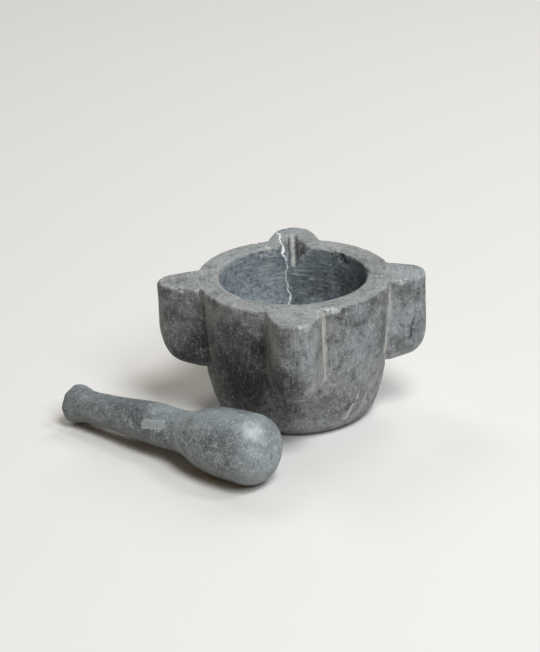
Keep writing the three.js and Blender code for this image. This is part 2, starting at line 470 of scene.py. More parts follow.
def notch_field(x, y, z):
    """A V-shaped trough with a channel in its floor, which rises outwards and ends at its tip."""
    c, s = math.cos(NOTCH_SLOPE), math.sin(NOTCH_SLOPE)
    lift = (NOTCH_TIP[1] - y) * s - (RIM_HEIGHT - z) * c
    inward = (NOTCH_TIP[1] - y) * c + (RIM_HEIGHT - z) * s
    side = np.sqrt((x - NOTCH_TIP[0]) ** 2 + NOTCH_FLOOR**2) - NOTCH_FLOOR
    trough = side * math.cos(NOTCH_HALF_ANGLE) - lift * math.sin(NOTCH_HALF_ANGLE)
    channel = np.hypot(x - NOTCH_TIP[0], lift - CHANNEL_RADIUS + CHANNEL_SINK) - CHANNEL_RADIUS
    cut = smooth_max(np.minimum(trough, channel), -inward, NOTCH_END_ROUNDING)
    return np.maximum(cut, inward - NOTCH_LENGTH), channel


def carve_unevenness(field, axes, z):
    """Hand-carved unevenness, which dies out at the flat foot and nearly so at the rim."""
    fade = np.clip(z / LEVEL_FOOT, 0, 1)
    fade = fade * np.clip((RIM_HEIGHT + LEVEL_RIM_PAST - z) / LEVEL_RIM, LEVEL_RIM_SHARE, 1)
    uneven = sum(waves.height * random_waves(axes, waves) for waves in MORTAR_WAVES)
    return field + uneven * fade


def chip_mortar(field, axes, x, y, z):
    """Chips on the edges, on the faces and on the lip beside the notch."""
    bulge = convexity(field, MORTAR_PITCH)
    surface = np.abs(field) < MORTAR_PITCH
    edges = surface & (bulge > EDGE_BULGE) & (z > EDGE_CHIPS_ABOVE)
    field = knock_chips(field, axes, MORTAR_PITCH, edges, EDGE_CHIPS)
    field = knock_chips(field, axes, MORTAR_PITCH, surface & (z > FACE_CHIPS_ABOVE), FACE_CHIPS)
    for middle in CHIPPED_LIP:
        gap_squared = (x - middle[0]) ** 2 + (y - middle[1]) ** 2 + (z - middle[2]) ** 2
        near = gap_squared < LIP_CHIPS_REACH**2
        field = knock_chips(field, axes, MORTAR_PITCH, surface & near, LIP_CHIPS)
    return field


def vein_offset(places):
    """How far each point lies to the side of the vein, which runs over the lug and down into the bowl."""
    x, y, z = places.T
    path = np.array(VEIN_PATH)
    run = (VEIN_START - y) + (RIM_HEIGHT - z)
    offset = x - np.interp(run, path[:, 0], path[:, 1])
    return np.where(y > VEIN_END, offset, VEIN_FAR).clip(-VEIN_FAR, VEIN_FAR)


def channel_marks(places, channel):
    """The painted highlight along the floor of the notch's channel, and the painted shade in strips on
    each side of it.
    """
    near = np.clip(CHANNEL_NEAR - channel / CHANNEL_FADE, 0, 1)
    inside = near * np.clip((places[:, 1] - CHANNEL_LIGHT_SHADE_START) / CHANNEL_LIGHT_SHADE_FADE, 0, 1)
    from_middle = np.abs(places[:, 0] - NOTCH_TIP[0])
    highlight_strip = inside * bell(from_middle**2, CHANNEL_HIGHLIGHT_WIDTH)
    from_side = from_middle - CHANNEL_RADIUS - CHANNEL_SINK
    return highlight_strip, inside * bell(from_side**2, CHANNEL_SIDE_WIDTH)


def mortar_mesh():
    low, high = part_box("mortar")
    axes = grid_axes(low / MM, high / MM, MORTAR_PITCH)
    x, y, z = spread(axes)
    field, dust = join_lugs(bowl_outside(x, y, z), x, y, z)
    field = smooth_max(field, z - RIM_HEIGHT, RIM_ROUNDING)
    hollow = hollow_field(x, y, z)
    field = smooth_max(field, -hollow, LIP_ROUNDING)
    notch, channel = notch_field(x, y, z)
    field = smooth_max(field, -notch, NOTCH_EDGE_ROUNDING)
    field = carve_unevenness(field, axes, z)
    field = chip_mortar(field, axes, x, y, z)
    worn = soften(convexity(field, MORTAR_PITCH), WORN_SOFTENING)
    mesh, steps, places = mesh_from_field("mortar_stone", field, axes, MORTAR_PITCH)

    height = places[:, 2]
    lip = np.clip((height - RIM_HEIGHT) / LIP_DEPTH + 1, 0, 1)
    inside = sample(np.clip(-hollow / INSIDE_DEPTH, -1, 1), steps)
    # Painted shade just above the floor
    foot_shade = np.clip((FOOT_SHADE_TOP - height) / FOOT_SHADE_FADE, 0, FOOT_SHADE_SHARE)
    channel_highlight, channel_side_shade = channel_marks(places, sample(channel, steps))
    add_mark(mesh, "worn", sample(worn, steps))
    add_mark(mesh, "inside", inside - LIP_SHARE * lip)
    add_mark(mesh, "vein", vein_offset(places))
    # Rubbed wear with painted highlights on the edges
    add_mark(mesh, "rub_and_highlight", nearness(places, RUBBED_AND_HIGHLIGHT_SPOTS))
    in_channel = channel_highlight > CHANNEL_HIGHLIGHT_LEAST
    # A painted highlight along the channel, and elsewhere the marks in the lug corners
    dust = np.where(in_channel, CHANNEL_HIGHLIGHT_SHARE * channel_highlight, sample(dust, steps))
    add_mark(mesh, "dust", dust)
    # Stains with painted shade, and painted shade on each side of the channel
    add_mark(mesh, "stain_and_shade", np.maximum(nearness(places, STAINS_AND_SHADE), channel_side_shade))
    # Painted light on the lit faces
    add_mark(mesh, "pale", nearness(places, PAINTED_LIGHT_SPOTS))
    # Painted shade, together with the painted shade above the floor
    add_mark(mesh, "painted_shade", np.maximum(nearness(places, SHADE_SPOTS), foot_shade))
    return mesh


# ---------------------------------------------------------------- pestle

def pestle_radius(along):
    """The pestle's radius at each distance along its axis: a smooth curve through its outline."""
    t, r = np.array(PESTLE_OUTLINE).T
    slope = np.gradient(r, t)
    slope[0] = KNOB_FLARE
    slope[-2:] = 0
    i = np.clip(np.searchsorted(t, along) - 1, 0, len(t) - 2)
    step = t[i + 1] - t[i]
    u = np.clip((along - t[i]) / step, 0, 1)
    rise = r[i] + u * u * (3 - 2 * u) * (r[i + 1] - r[i])
    return rise + step * (u * (1 - u) ** 2 * slope[i] - u * u * (1 - u) * slope[i + 1])


def knob_face(x, y, z):
    """The knob's end: a nearly square face, with rough facets cut round it."""
    face = -x - KNOB_FACE_TILT * y
    for facet in range(KNOB_FACETS):
        turn = (facet + FACET_TURN) * 2 * math.pi / KNOB_FACETS
        outward = y * math.cos(turn) + z * math.sin(turn)
        uneven = FACET_UNEVENNESS * math.sin(5 * facet)
        chamfer = FACET_ACROSS * (outward - KNOB_FACE_RADIUS - uneven) - FACET_ALONG * x
        face = np.maximum(face, chamfer)
    return face


def pestle_field(x, y, z):
    """The turned flank with a superellipse for its end, a facetted knob, and a slight bow upwards."""
    z = z - PESTLE_BOW * np.exp(-(((x - PESTLE_BOW_PLACE) / PESTLE_BOW_WIDTH) ** 2))
    radius = pestle_radius(x.ravel()).astype(np.float32).reshape(x.shape)
    flank = FLANK_SLOPE * (np.hypot(y, z) - radius)
    past = np.maximum(x - (PESTLE_LENGTH - HEAD_END_LENGTH), 0) / HEAD_END_LENGTH
    across = np.hypot(y, z) / HEAD_RADIUS + CENTRE_GUARD
    n = HEAD_FULLNESS
    level = (across**n + past**n) ** (1 / n)
    end = (level - 1) * HEAD_RADIUS * HEAD_END_SLOPE
    field = np.maximum(flank, np.where(past > 0, end, -HEAD_RADIUS))
    return smooth_max(field, knob_face(x, y, z), KNOB_ROUNDING)


def pestle_place():
    """From the pestle's own frame, axis along +X, to how it lies: on its knob and its head."""
    reach = PESTLE_LENGTH - HEAD_END_LENGTH - KNOB_LENGTH
    tilt = math.asin((HEAD_RADIUS - KNOB_RADIUS) / reach)
    return Matrix.Rotation(PESTLE_HEADING, 4, "Z") @ Matrix.Rotation(-tilt, 4, "Y")


def patch_gap(places):
    """How far each point lies outside the pale patch on the grip, and below zero inside it."""
    along, aside, up = places.T
    turn = (np.arctan2(up, aside) - PATCH_TURN + PATCH_SLANT * (along - PATCH_ALONG)) % (2 * math.pi)
    turn = np.where(turn > math.pi, turn - 2 * math.pi, turn)
    past_end = np.abs(along - PATCH_ALONG) - PATCH_LENGTH / 2
    past_side = np.abs(turn) * PATCH_GRIP_RADIUS - PATCH_WIDTH / 2
    return np.maximum(past_end, past_side).clip(-PATCH_FAR, PATCH_FAR)


def lay_down(mesh, node):
    """Turns the mesh to how it lies, centres it on its node's box and sets it on the floor."""
    mesh.transform(pestle_place())
    low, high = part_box(node)
    points = np.empty(3 * len(mesh.vertices), np.float32)
    mesh.vertices.foreach_get("co", points)
    points = points.reshape(-1, 3)
    middle = (points.min(0) + points.max(0)) / 2
    shift = Vector((low + high) / 2) - Vector(middle)
    shift.z = -float(points[:, 2].min())
    mesh.transform(Matrix.Translation(shift))


def pestle_mesh():
    low, high = (0, -PESTLE_ROOM, -PESTLE_ROOM), (PESTLE_LENGTH, PESTLE_ROOM, PESTLE_ROOM)
    axes = grid_axes(low, high, PESTLE_PITCH)
    x, y, z = spread(axes)
    field = pestle_field(x, y, z)
    for waves in PESTLE_WAVES:
        field = field + waves.height * random_waves(axes, waves)
    surface = np.abs(field) < PESTLE_PITCH
    field = knock_chips(field, axes, PESTLE_PITCH, surface & (x > PESTLE_CHIPS_FROM), PESTLE_CHIPS)
    mesh, _, places = mesh_from_field("pestle_stone", field, axes, PESTLE_PITCH)
    add_mark(mesh, "along", places[:, 0])
    add_mark(mesh, "patch", patch_gap(places))
    # A painted highlight on the head, and painted light on the upper side
    add_mark(mesh, "rub_and_highlight", nearness(places, PESTLE_HIGHLIGHT))
    add_mark(mesh, "pale", nearness(places, PESTLE_PAINTED_LIGHT))
    lay_down(mesh, "pestle")
    return mesh


# ---------------------------------------------------------------- shader nodes

# Procedural noise; where a stretch is given, the places are scaled by it and then turned
NOISE_DEFAULTS = (0.0, None, (0, 0, 0))
Noise = namedtuple("Noise", "scale detail roughness distortion stretch turn", defaults=NOISE_DEFAULTS)

# A colour (0 to 255, as seen on screen) whose share rises from none to full as a value goes low to high
Layer = namedtuple("Layer", "low high share colour")

# A colour whose share of an area is the same throughout
Wash = namedtuple("Wash", "share colour")

# Small round spots: about how many to a metre, their size, a turn that moves them, and their look
Flecks = namedtuple("Flecks", "scale size turn wash")
FLECK_CROSS_TURN = 0.3
FLECK_CORE = 0.6
FLECK_WOBBLE = 0.25
FLECK_WOBBLE_SCALE = 5
FLECK_CHOSEN_BAND = (0.35, 0.6)

# How strongly a height shows in the shading, and how high it is in metres
Relief = namedtuple("Relief", "strength depth")


def srgb(red, green, blue):
    """A colour given as it looks on screen, 0 to 255, as the linear values that shaders take."""
    shares = (c / 255 for c in (red, green, blue))
    linear = [((s + 0.055) / 1.055) ** 2.4 if s > 0.04045 else s / 12.92 for s in shares]
    return (*linear, 1.0)


class Nodes:
    """Short names for the shader nodes that the stones are made of."""

    def __init__(self, name):
        self.material = bpy.data.materials.new(name)
        self.material.use_nodes = True
        self.tree = self.material.node_tree
        self.shader = self.tree.nodes["Principled BSDF"]
        self.places = self.tree.nodes.new("ShaderNodeTexCoord")

    def add(self, kind, **settings):
        node = self.tree.nodes.new(kind)
        for key, value in settings.items():
            setattr(node, key, value)
        return node

    def put(self, socket, value):
        if isinstance(value, bpy.types.NodeSocket):
            self.tree.links.new(value, socket)
        else:
            socket.default_value = value

    def math(self, operation, a, b=0.0):
        node = self.add("ShaderNodeMath", operation=operation)
        self.put(node.inputs[0], a)
        self.put(node.inputs[1], b)
        return node.outputs[0]

    def times(self, a, b):
        return self.math("MULTIPLY", a, b)

    def plus(self, a, b):
        return self.math("ADD", a, b)

    def from_one(self, value):
        """What is left of 1 once the value is taken from it."""
        return self.math("SUBTRACT", 1.0, value)

    def swing(self, noise, size):
        """Noise made to swing about zero."""
        return self.times(self.math("SUBTRACT", noise, 0.5), size)

    def band(self, value, low, high, to_low=0.0, to_high=1.0):
        """Maps low..high to to_low..to_high smoothly, clamped outside."""
        node = self.add("ShaderNodeMapRange", interpolation_type="SMOOTHSTEP")
        self.put(node.inputs["Value"], value)
        node.inputs["From Min"].default_value = low
        node.inputs["From Max"].default_value = high
        node.inputs["To Min"].default_value = to_low
        node.inputs["To Max"].default_value = to_high
        return node.outputs["Result"]

    def mark(self, name):
        """A value stored on the mesh by add_mark."""
        node = self.add("ShaderNodeAttribute", attribute_name=name)
        return node.outputs["Fac"]

    def axis(self, source, axis):
        node = self.add("ShaderNodeSeparateXYZ")
        self.put(node.inputs[0], self.places.outputs[source])
        return node.outputs[axis]

    def vector(self, x, y, z):
        node = self.add("ShaderNodeCombineXYZ")
        for socket, value in zip(node.inputs, (x, y, z)):
            self.put(socket, value)
        return node.outputs[0]

    def stretched(self, scale, turn):
        node = self.add("ShaderNodeMapping")
        self.put(node.inputs["Vector"], self.places.outputs["Object"])
        node.inputs["Rotation"].default_value = turn
        node.inputs["Scale"].default_value = scale
        return node.outputs["Vector"]

    def noise(self, noise, vector=None):
        if noise.stretch:
            vector = self.stretched(noise.stretch, noise.turn)
        if vector is None:
            vector = self.places.outputs["Object"]
        node = self.add("ShaderNodeTexNoise")
        self.put(node.inputs["Vector"], vector)
        node.inputs["Scale"].default_value = noise.scale
        node.inputs["Detail"].default_value = noise.detail
        node.inputs["Roughness"].default_value = noise.roughness
        node.inputs["Distortion"].default_value = noise.distortion
        return node.outputs["Fac"]

    def mix(self, share, below, colour):
        node = self.add("ShaderNodeMix", data_type="RGBA")
        self.put(node.inputs[0], share)
        self.put(node.inputs[6], below)
        self.put(node.inputs[7], colour)
        return node.outputs[2]

    def layer(self, below, value, layer, within=None):
        """Lays a colour over another by a value, everywhere or only within an area."""
        share = self.band(value, layer.low, layer.high, 0, layer.share)
        if within is not None:
            share = self.times(within, share)
        return self.mix(share, below, srgb(*layer.colour))

    def wash(self, below, area, wash):
        return self.mix(self.times(area, wash.share), below, srgb(*wash.colour))

    def bump(self, height, relief, below=None):
        node = self.add("ShaderNodeBump")
        node.inputs["Strength"].default_value = relief.strength
        node.inputs["Distance"].default_value = relief.depth
        self.put(node.inputs["Height"], height)
        if below is not None:
            self.put(node.inputs["Normal"], below)
        return node.outputs["Normal"]


def spotted(n, below, flecks):
    """Small round spots over a colour, some of them left out."""
    node = n.add("ShaderNodeTexVoronoi", feature="F1")
    n.put(node.inputs["Vector"], n.stretched((1, 1, 1), (flecks.turn, FLECK_CROSS_TURN * flecks.turn, 0)))
    node.inputs["Scale"].default_value = flecks.scale
    wobble = n.swing(n.noise(Noise(flecks.scale * FLECK_WOBBLE_SCALE, 2, 0.6)), FLECK_WOBBLE)
    spots = n.band(n.plus(node.outputs["Distance"], wobble), flecks.size, FLECK_CORE * flecks.size)
    chosen = n.add("ShaderNodeSeparateColor")
    n.put(chosen.inputs[0], node.outputs["Color"])
    spots = n.times(spots, n.band(chosen.outputs[0], *FLECK_CHOSEN_BAND))
    return n.wash(below, spots, flecks.wash)


# ---------------------------------------------------------------- marble of the mortar

MARBLE_DARK = (80, 82, 83)
MARBLE_LIGHT = Layer(0.40, 0.62, 1.0, (146, 149, 150))
INSIDE_BAND = (-0.75, -0.2)
UPWARD_BAND = (0.55, 0.95)
BOWL_TINT = Wash(0.6, (132, 150, 162))
TOP_TINT = Wash(0.55, (172, 177, 177))
TOP_CALM = 0.08

# Clouds, mottle, specks and grain, from the largest to the finest
CLOUD = Noise(13, 5, 0.62, 0.9)
MOTTLE = Noise(62, 7, 0.78, 0.7)
MOTTLE_PALE = Layer(0.50, 0.72, 0.75, (178, 182, 182))
MOTTLE_DARK = Layer(0.50, 0.30, 0.8, (60, 62, 64))
SPECK = Noise(210, 5, 0.8)
SPECK_PALE = Layer(0.53, 0.68, 0.6, (190, 196, 197))
SPECK_DARK = Layer(0.47, 0.32, 0.65, (46, 48, 50))
GRAIN = Noise(520, 3, 0.7)
GRAIN_PALE = Layer(0.55, 0.70, 0.45, (200, 206, 207))
GRAIN_DARK = Layer(0.45, 0.32, 0.4, (44, 46, 48))

# The marked spots of painted light, of painted shade, and of stains with painted shade, whose edges follow
# the mottle by the amount that goes with each
PAINTED_LIGHT_EDGE = 0.8
PAINTED_LIGHT = Layer(0.2, 1.0, 0.55, (162, 172, 178))
SHADE_EDGE = -0.8
PAINTED_SHADE = Layer(0.1, 0.9, 0.5, (54, 55, 56))
STAIN_AND_SHADE_EDGE = -0.9
STAIN_AND_SHADE_LAYER = Layer(0.15, 0.95, 0.86, (44, 45, 46))

# Chisel marks on the outside: steep ones and slanting ones
CHISELS = (
    Noise(1.0, 3, 0.6, 0.0, (700, 700, 50), (0.12, 0.08, 0)),
    Noise(1.0, 3, 0.6, 0.0, (500, 500, 60), (0.5, 0.65, 0.2)),
)
CHISEL_PALE = Layer(0.58, 0.72, 0.32, (180, 184, 184))
CHISEL_DARK = Layer(0.42, 0.30, 0.45, (58, 60, 62))

# Rings that tools and grinding leave in the bowl and on the rim
RINGS = Noise(1.0, 3, 0.6, 0.4)
RING_LENGTH = 5.0
RING_CLOSENESS = 640
RING_SLANT = 0.8
RING_PALE = Layer(0.54, 0.68, 0.34, (196, 204, 206))
RING_DARK = Layer(0.46, 0.30, 0.45, (80, 86, 90))
RIPPLE_AREAS = Noise(26, 2, 0.5)
RIPPLE_BAND = (0.45, 0.6)
RIPPLES = Layer(0.55, 0.62, 0.45, (200, 212, 217))

# Curled scratches in the bowl, most of them on its left side
CURLS = Noise(100, 1.5, 0.5, 0.5)
CURL_AREAS = Noise(20, 2, 0.5, 0.0, (1, 1, 1), (0.4, 0, 0))
CURL_AREA_BAND = (0.44, 0.6)
CURL_GAPS = Noise(70, 2, 0.5)
CURL_GAP_BAND = (0.45, 0.6)
CURL_SIDE_BAND = (0.01, -0.03, 0.25, 1.0)
CURL_PALE = Layer(0.045, 0.012, 0.7, (202, 214, 219))
CURL_DARK = Layer(0.06, 0.12, 0.3, (70, 77, 82))

# Thin pale lines of the marble's figure, and flecks
FIGURE = Noise(22, 7, 0.62, 1.6)
FIGURE_LINES = Layer(0.010, 0.001, 0.18, (190, 194, 195))
MARBLE_FLECKS = (
    Flecks(85, 0.11, 0.0, Wash(0.55, (208, 214, 215))),
    Flecks(60, 0.09, 0.7, Wash(0.7, (38, 38, 38))),
)

# Wear on the edges, rubbed spots with painted highlights, and in the corners pale dust with painted light,
# and painted shade
WEAR_AREAS = Noise(28, 2, 0.5)
WEAR_SWING = 0.5
WEAR = Layer(0.22, 0.36, 0.6, (186, 190, 189))
RUB_AND_HIGHLIGHT_ON_EDGES = (0.02, 0.2, 0.62, 1.0)
RUB_AND_HIGHLIGHT_SWING = 3.4
RUB_AND_HIGHLIGHT_LAYER = Layer(0.55, 1.15, 0.8, (208, 214, 215))
DUST_LIGHT_SHADE_AREAS = Noise(1.0, 4, 0.7, 0.4, (260, 260, 110))
DUST_LIGHT_SHADE_SWING = 3.0
PALE_DUST_AND_LIGHT = Layer(0.4, 1.3, 0.82, (195, 194, 188))
CORNER_SHADE = Layer(-0.4, -1.3, 0.8, (38, 39, 40))

# The white vein: its wander to the side and its width, in millimetres
VEIN_BENDS = Noise(85, 3, 0.5)
VEIN_WANDER = 12.0
VEIN_SWELLS = Noise(120, 2, 0.5)
VEIN_SWELL = 0.8
VEIN_HALF_WIDTH = 0.38
VEIN_BAND = (0.1, -0.4)
VEIN = Wash(1.0, (236, 242, 244))

# Short lines on the front, from one point (x, z) to another in millimetres, with their width
Streak = namedtuple("Streak", "start end width wash")
SHORT_VEIN = Wash(0.7, (205, 208, 206))
STREAKS = (
    Streak((41, 13), (52, 29), 2.0, SHORT_VEIN),
    Streak((52, 31), (56, 41), 1.1, SHORT_VEIN),
    Streak((58, 20), (64, 36), 0.8, SHORT_VEIN),
    Streak((109, 97), (104, 74), 1.5, Wash(0.65, (40, 41, 42))),
)
STREAK_BENDS = Noise(110, 3, 0.6)
STREAK_WANDER = 9
STREAK_CORE = 0.4
STREAK_END_PAST = 2
STREAK_END_BEFORE = 3
STREAK_FRONT_BAND = (-0.005, -0.012)

# From a low and a high value of the mottle to a low and a high roughness
MARBLE_ROUGHNESS = (0.3, 0.7, 0.58, 0.78)
MARBLE_SPECULAR = 0.4
PITS = Noise(240, 6, 0.75)
PIT_RELIEF = Relief(0.6, 0.0009)
FINE_PITS = Noise(900, 3, 0.7)
FINE_PIT_RELIEF = Relief(0.4, 0.0003)
CHISEL_RELIEF = Relief(0.5, 0.0008)
RING_RELIEF = Relief(0.5, 0.0009)


def ring_marks(n):
    """Noise drawn out into rings round the upright axis."""
    x, y, z = (n.axis("Object", i) for i in range(3))
    radius = n.math("SQRT", n.plus(n.times(x, x), n.times(y, y)))
    from_ring = n.math("SUBTRACT", radius, n.times(z, RING_SLANT))
    around_x = n.times(n.math("DIVIDE", x, radius), RING_LENGTH)
    around_y = n.times(n.math("DIVIDE", y, radius), RING_LENGTH)
    return n.noise(RINGS, n.vector(around_x, around_y, n.times(from_ring, RING_CLOSENESS)))


def streaked(n, below, streak):
    """A short line over a colour, on the side of the stone that faces the front (-Y)."""
    (x0, z0), (x1, z1) = streak.start, streak.end
    length = math.hypot(x1 - x0, z1 - z0)
    ux, uz = (x1 - x0) / length, (z1 - z0) / length
    x = n.math("SUBTRACT", n.axis("Object", 0), x0 * MM)
    z = n.math("SUBTRACT", n.axis("Object", 2), z0 * MM)
    run = n.plus(n.times(x, ux), n.times(z, uz))
    side = n.math("SUBTRACT", n.times(x, uz), n.times(z, ux))
    side = n.math("ABSOLUTE", n.plus(side, n.swing(n.noise(STREAK_BENDS), STREAK_WANDER * MM)))
    line = n.band(side, streak.width * MM, STREAK_CORE * streak.width * MM)
    from_middle = n.math("ABSOLUTE", n.math("SUBTRACT", run, length * MM / 2))
    past, before = (length / 2 + STREAK_END_PAST) * MM, (length / 2 - STREAK_END_BEFORE) * MM
    between_ends = n.band(from_middle, past, before)
    front = n.band(n.axis("Object", 1), *STREAK_FRONT_BAND)
    return n.wash(below, n.times(n.times(line, between_ends), front), streak.wash)


def stone_layers(n, colour, mottle, speck, plain):
    """Mottle, specks and grain, with the spots of painted light, of painted shade, and of stains with
    painted shade between them.
    """
    pale = n.plus(n.mark("pale"), n.swing(mottle, PAINTED_LIGHT_EDGE))
    colour = n.layer(colour, pale, PAINTED_LIGHT)
    colour = n.layer(colour, mottle, MOTTLE_PALE)
    colour = n.layer(colour, mottle, MOTTLE_DARK, plain)
    colour = n.layer(colour, speck, SPECK_PALE, plain)
    colour = n.layer(colour, speck, SPECK_DARK, plain)
    colour = n.layer(colour, n.plus(n.mark("painted_shade"), n.swing(mottle, SHADE_EDGE)), PAINTED_SHADE)
    colour = n.layer(colour, n.plus(n.mark("stain_and_shade"), n.swing(mottle, STAIN_AND_SHADE_EDGE)), STAIN_AND_SHADE_LAYER)
    grain = n.noise(GRAIN)
    colour = n.layer(colour, grain, GRAIN_PALE, plain)
    return n.layer(colour, grain, GRAIN_DARK, plain)


def bowl_layers(n, colour, inside, ringed, rings):
    """Rings in the bowl and on the rim, with ripples and curled scratches inside."""
    ripple = n.times(inside, n.band(n.noise(RIPPLE_AREAS), *RIPPLE_BAND))
    colour = n.layer(colour, rings, RING_PALE, ringed)
    colour = n.layer(colour, rings, RIPPLES, ripple)
    colour = n.layer(colour, rings, RING_DARK, ringed)
    curls = n.math("ABSOLUTE", n.math("SUBTRACT", n.noise(CURLS), 0.5))
    curled = n.times(inside, n.band(n.noise(CURL_AREAS), *CURL_AREA_BAND))
    curled = n.times(curled, n.band(n.noise(CURL_GAPS), *CURL_GAP_BAND))
    curled = n.times(curled, n.band(n.axis("Object", 0), *CURL_SIDE_BAND))
    colour = n.layer(colour, curls, CURL_PALE, curled)
    return n.layer(colour, curls, CURL_DARK, curled)


def worn_layers(n, colour, mottle, speck):
    """Worn edges, rubbing with painted highlights, and in the corners pale dusty lines with painted light,
    and painted shade.
    """
    wear = n.plus(n.mark("worn"), n.swing(mottle, WEAR_SWING))
    wear = n.plus(wear, n.swing(n.noise(WEAR_AREAS), WEAR_SWING))
    colour = n.layer(colour, wear, WEAR)
    # Rubbed wear and painted highlights, on the edges only
    rubs_and_highlights = n.times(n.mark("rub_and_highlight"), n.band(n.mark("worn"), *RUB_AND_HIGHLIGHT_ON_EDGES))
    colour = n.layer(colour, n.plus(rubs_and_highlights, n.swing(speck, RUB_AND_HIGHLIGHT_SWING)), RUB_AND_HIGHLIGHT_LAYER)
    dust = n.plus(n.mark("dust"), n.swing(n.noise(DUST_LIGHT_SHADE_AREAS), DUST_LIGHT_SHADE_SWING))
    # Pale dust with painted light
    colour = n.layer(colour, dust, PALE_DUST_AND_LIGHT)
    # Painted shade in the corners
    return n.layer(colour, dust, CORNER_SHADE)


def white_vein(n, colour):
    side = n.math("ABSOLUTE", n.plus(n.mark("vein"), n.swing(n.noise(VEIN_BENDS), VEIN_WANDER)))
    thick = n.plus(n.times(n.noise(VEIN_SWELLS), VEIN_SWELL), VEIN_HALF_WIDTH)
    return n.wash(colour, n.band(n.math("SUBTRACT", side, thick), *VEIN_BAND), VEIN)


def mortar_material():
    n = Nodes("mortar_marble")
    mottle = n.noise(MOTTLE)
    speck = n.noise(SPECK)
    inside = n.band(n.mark("inside"), *INSIDE_BAND)
    top = n.times(n.band(n.axis("Normal", 2), *UPWARD_BAND), n.from_one(inside))
    ringed = n.math("MAXIMUM", inside, top)
    side = n.from_one(ringed)
    plain = n.from_one(n.times(top, TOP_CALM))

    colour = n.layer(srgb(*MARBLE_DARK), n.noise(CLOUD), MARBLE_LIGHT)
    colour = n.wash(colour, inside, BOWL_TINT)
    colour = n.wash(colour, top, TOP_TINT)
    colour = stone_layers(n, colour, mottle, speck, plain)
    chisels = [n.noise(chisel) for chisel in CHISELS]
    for marks in chisels:
        colour = n.layer(colour, marks, CHISEL_PALE, side)
        colour = n.layer(colour, marks, CHISEL_DARK, side)
    rings = ring_marks(n)
    colour = bowl_layers(n, colour, inside, ringed, rings)
    figure = n.math("ABSOLUTE", n.math("SUBTRACT", n.noise(FIGURE), 0.5))
    colour = n.layer(colour, figure, FIGURE_LINES)
    for flecks in MARBLE_FLECKS:
        colour = spotted(n, colour, flecks)
    colour = worn_layers(n, colour, mottle, speck)
    colour = white_vein(n, colour)
    for streak in STREAKS:
        colour = streaked(n, colour, streak)

    n.put(n.shader.inputs["Base Color"], colour)
    n.put(n.shader.inputs["Roughness"], n.band(mottle, *MARBLE_ROUGHNESS))
    n.shader.inputs["Specular IOR Level"].default_value = MARBLE_SPECULAR
    relief = n.bump(n.noise(PITS), PIT_RELIEF)
    relief = n.bump(n.noise(FINE_PITS), FINE_PIT_RELIEF, relief)
    relief = n.bump(n.times(side, n.plus(*chisels)), CHISEL_RELIEF, relief)
    relief = n.bump(n.times(ringed, rings), RING_RELIEF, relief)
    n.put(n.shader.inputs["Normal"], relief)
    return n.material


# ---------------------------------------------------------------- stone of the pestle

PESTLE_DARK = (78, 86, 91)
PESTLE_LIGHT = Layer(0.36, 0.64, 1.0, (146, 155, 159))
PESTLE_CLOUD = Noise(24, 5, 0.62, 0.7)
PESTLE_MOTTLE = Noise(110, 6, 0.75, 0.3)
PESTLE_MOTTLE_PALE = Layer(0.51, 0.66, 0.7, (186, 194, 196))
PESTLE_MOTTLE_DARK = Layer(0.49, 0.34, 0.8, (66, 73, 77))
PESTLE_GRAIN = Noise(420, 4, 0.75)
PESTLE_GRAIN_PALE = Layer(0.52, 0.66, 0.7, (200, 208, 210))
PESTLE_GRAIN_DARK = Layer(0.48, 0.34, 0.65, (66, 72, 76))

# Fine rings round the pestle's own axis
TURNED = Noise(1.0, 3, 0.6)
TURNED_ALONG = 950
TURNED_ROUND = 14
TURNED_PALE = Layer(0.58, 0.72, 0.3, (186, 192, 193))

# Tints by which way the surface faces (painted light on top, painted shade underneath), by the marked
# spots (painted light) and by how far along the pestle it is (painted shade on the knob's end face)
# Painted light on the upward faces
PESTLE_TOP_LIGHT = Layer(0.3, 0.95, 0.2, (168, 178, 182))
PESTLE_PAINTED_LIGHT_LAYER = Layer(0.1, 1.0, 0.45, (164, 175, 179))
GRIP_DARK = Layer(125, 40, 0.34, (78, 84, 88))
# Painted shade on the underside
PESTLE_UNDERSIDE_SHADE = Layer(0.2, -0.6, 0.65, (100, 100, 96))
HEAD_PALE = Layer(206, 230, 0.3, (168, 178, 182))
# Painted shade on the knob's end face, which is turned away from the lamps
KNOB_END_SHADE = Layer(7.0, 1.5, 0.5, (60, 61, 60))
# A painted highlight on the head
PESTLE_HIGHLIGHT_SWING = 1.4
PESTLE_HIGHLIGHT_LAYER = Layer(0.2, 1.2, 0.75, (210, 219, 222))

# The pale patch on the grip, with a ragged edge and a dried line just inside it
PATCH_RAGS = Noise(260, 4, 0.7)
PATCH_RAG_SWING = 6.0
PATCH = Layer(0.3, -0.6, 0.82, (172, 182, 186))
PATCH_LINE_INSIDE = 0.7
PATCH_LINE = Layer(0.9, 0.2, 0.5, (198, 206, 208))

PESTLE_FLECKS = (
    Flecks(70, 0.10, 0.4, Wash(0.75, (214, 219, 219))),
    Flecks(60, 0.08, 1.1, Wash(0.6, (48, 50, 52))),
)
# From a low and a high value of the clouds to a low and a high roughness
PESTLE_ROUGHNESS = (0.3, 0.7, 0.46, 0.6)
PESTLE_PITS = Noise(300, 5, 0.7)
PESTLE_PIT_RELIEF = Relief(0.6, 0.0008)
TURNED_RELIEF = Relief(0.3, 0.0005)


def turned_marks(n):
    """Noise drawn out into fine rings, by the attribute that tells how far along the pestle it is."""
    along = n.times(n.mark("along"), TURNED_ALONG * MM)
    across_y = n.times(n.axis("Object", 1), TURNED_ROUND)
    across_z = n.times(n.axis("Object", 2), TURNED_ROUND)
    return n.noise(TURNED, n.vector(along, across_y, across_z))


